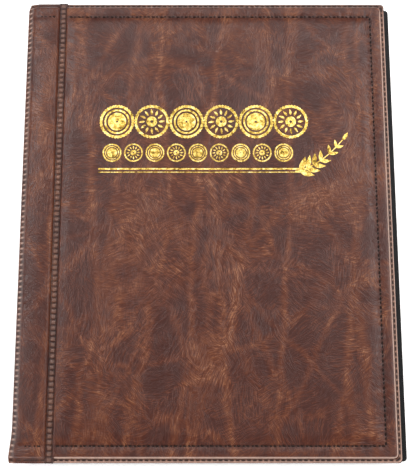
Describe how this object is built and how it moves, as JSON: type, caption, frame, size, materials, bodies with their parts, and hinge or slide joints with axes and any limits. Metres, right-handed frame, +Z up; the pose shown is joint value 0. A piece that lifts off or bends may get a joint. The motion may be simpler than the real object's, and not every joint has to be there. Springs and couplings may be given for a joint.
{
  "type": "coin album",
  "caption": "Padded leatherette album for coins, closed, with welded ladder hinges, stitched covers, hidden binding posts and clear leaves that fan as the cover opens.",
  "frame": {"origin": "bottom centre of the closed album, on the surface it lies on", "axes": "+X from the spine to the fore-edge, +Y to the head of the album, +Z up through the front cover"},
  "size_m": [0.204, 0.25, 0.015],
  "materials": {
    "leatherette": "marbled brown leatherette with a soft polish",
    "thread": "dark brown sewing thread",
    "foam": "soft padding foam",
    "greyboard": "raw greyboard",
    "lining": "black grained vinyl film",
    "clear_film": "clear glossy vinyl film",
    "aluminium": "turned aluminium",
    "gold_foil": "hot-stamped gold foil"
  },
  "bodies": {
    "binding": {"front_strip_skin": "leatherette", "front_strip_foam": "foam", "front_strip_board": "greyboard", "front_strip_lining": "lining", "front_hinge_weld": "leatherette", "front_fold_weld": "leatherette", "back_strip_skin": "leatherette", "back_strip_foam": "foam", "back_strip_board": "greyboard", "back_strip_lining": "lining", "back_hinge_weld": "leatherette", "back_fold_weld": "leatherette", "spine_skin": "leatherette", "spine_board": "greyboard", "spine_lining": "lining", "binding_post_1": "aluminium", "binding_screw_1": "aluminium", "binding_post_2": "aluminium", "binding_screw_2": "aluminium", "binding_post_3": "aluminium", "binding_screw_3": "aluminium", "leaf_margin_01": "clear_film", "leaf_margin_02": "clear_film", "leaf_margin_03": "clear_film", "leaf_margin_04": "clear_film", "leaf_margin_05": "clear_film", "leaf_margin_06": "clear_film", "leaf_margin_07": "clear_film", "leaf_margin_08": "clear_film", "leaf_margin_09": "clear_film", "leaf_margin_10": "clear_film"},
    "front_cover": {"front_cover_skin": "leatherette", "front_cover_thread": "thread", "front_cover_foam": "foam", "front_cover_board": "greyboard", "front_cover_lining": "lining"},
    "back_cover": {"back_cover_skin": "leatherette", "back_cover_thread": "thread", "back_cover_foam": "foam", "back_cover_board": "greyboard", "back_cover_lining": "lining"},
    "leaf_01": {"leaf_01": "clear_film"},
    "leaf_02": {"leaf_02": "clear_film"},
    "leaf_03": {"leaf_03": "clear_film"},
    "leaf_04": {"leaf_04": "clear_film"},
    "leaf_05": {"leaf_05": "clear_film"},
    "leaf_06": {"leaf_06": "clear_film"},
    "leaf_07": {"leaf_07": "clear_film"},
    "leaf_08": {"leaf_08": "clear_film"},
    "leaf_09": {"leaf_09": "clear_film"},
    "leaf_10": {"leaf_10": "clear_film"}
  },
  "joints": [
    {"name": "front_cover_hinge", "type": "hinge", "parent": "binding", "child": "front_cover", "pos_m": [-0.0824, 0, 0.0156], "axis": [0, -1, 0], "range_deg": [0, 180]},
    {"name": "back_cover_hinge", "type": "hinge", "parent": "binding", "child": "back_cover", "pos_m": [-0.0784, 0, -0.0006], "axis": [0, 1, 0], "range_deg": [0, 180]},
    {"name": "leaf_01_turn", "type": "hinge", "parent": "binding", "child": "leaf_01", "pos_m": [-0.0803, 0, 0.01065], "axis": [0, -1, 0], "range_deg": [0, 91]},
    {"name": "leaf_02_turn", "type": "hinge", "parent": "binding", "child": "leaf_02", "pos_m": [-0.07985, 0, 0.00995], "axis": [0, -1, 0], "range_deg": [0, 82]},
    {"name": "leaf_03_turn", "type": "hinge", "parent": "binding", "child": "leaf_03", "pos_m": [-0.0794, 0, 0.00925], "axis": [0, -1, 0], "range_deg": [0, 73]},
    {"name": "leaf_04_turn", "type": "hinge", "parent": "binding", "child": "leaf_04", "pos_m": [-0.07895, 0, 0.00855], "axis": [0, -1, 0], "range_deg": [0, 64]},
    {"name": "leaf_05_turn", "type": "hinge", "parent": "binding", "child": "leaf_05", "pos_m": [-0.0785, 0, 0.00785], "axis": [0, -1, 0], "range_deg": [0, 55]},
    {"name": "leaf_06_turn", "type": "hinge", "parent": "binding", "child": "leaf_06", "pos_m": [-0.07805, 0, 0.00715], "axis": [0, -1, 0], "range_deg": [0, 46]},
    {"name": "leaf_07_turn", "type": "hinge", "parent": "binding", "child": "leaf_07", "pos_m": [-0.0776, 0, 0.00645], "axis": [0, -1, 0], "range_deg": [0, 37]},
    {"name": "leaf_08_turn", "type": "hinge", "parent": "binding", "child": "leaf_08", "pos_m": [-0.07715, 0, 0.00575], "axis": [0, -1, 0], "range_deg": [0, 28]},
    {"name": "leaf_09_turn", "type": "hinge", "parent": "binding", "child": "leaf_09", "pos_m": [-0.0767, 0, 0.00505], "axis": [0, -1, 0], "range_deg": [0, 19]},
    {"name": "leaf_10_turn", "type": "hinge", "parent": "binding", "child": "leaf_10", "pos_m": [-0.07625, 0, 0.00435], "axis": [0, -1, 0], "range_deg": [0, 10]}
  ],
  "couplings": [
    {"joint": "leaf_01_turn", "follows": "front_cover_hinge", "ratio": 0.5},
    {"joint": "leaf_02_turn", "follows": "front_cover_hinge", "ratio": 0.45},
    {"joint": "leaf_03_turn", "follows": "front_cover_hinge", "ratio": 0.4},
    {"joint": "leaf_04_turn", "follows": "front_cover_hinge", "ratio": 0.35},
    {"joint": "leaf_05_turn", "follows": "front_cover_hinge", "ratio": 0.3},
    {"joint": "leaf_06_turn", "follows": "front_cover_hinge", "ratio": 0.25},
    {"joint": "leaf_07_turn", "follows": "front_cover_hinge", "ratio": 0.2},
    {"joint": "leaf_08_turn", "follows": "front_cover_hinge", "ratio": 0.15},
    {"joint": "leaf_09_turn", "follows": "front_cover_hinge", "ratio": 0.1},
    {"joint": "leaf_10_turn", "follows": "front_cover_hinge", "ratio": 0.05}
  ]
}
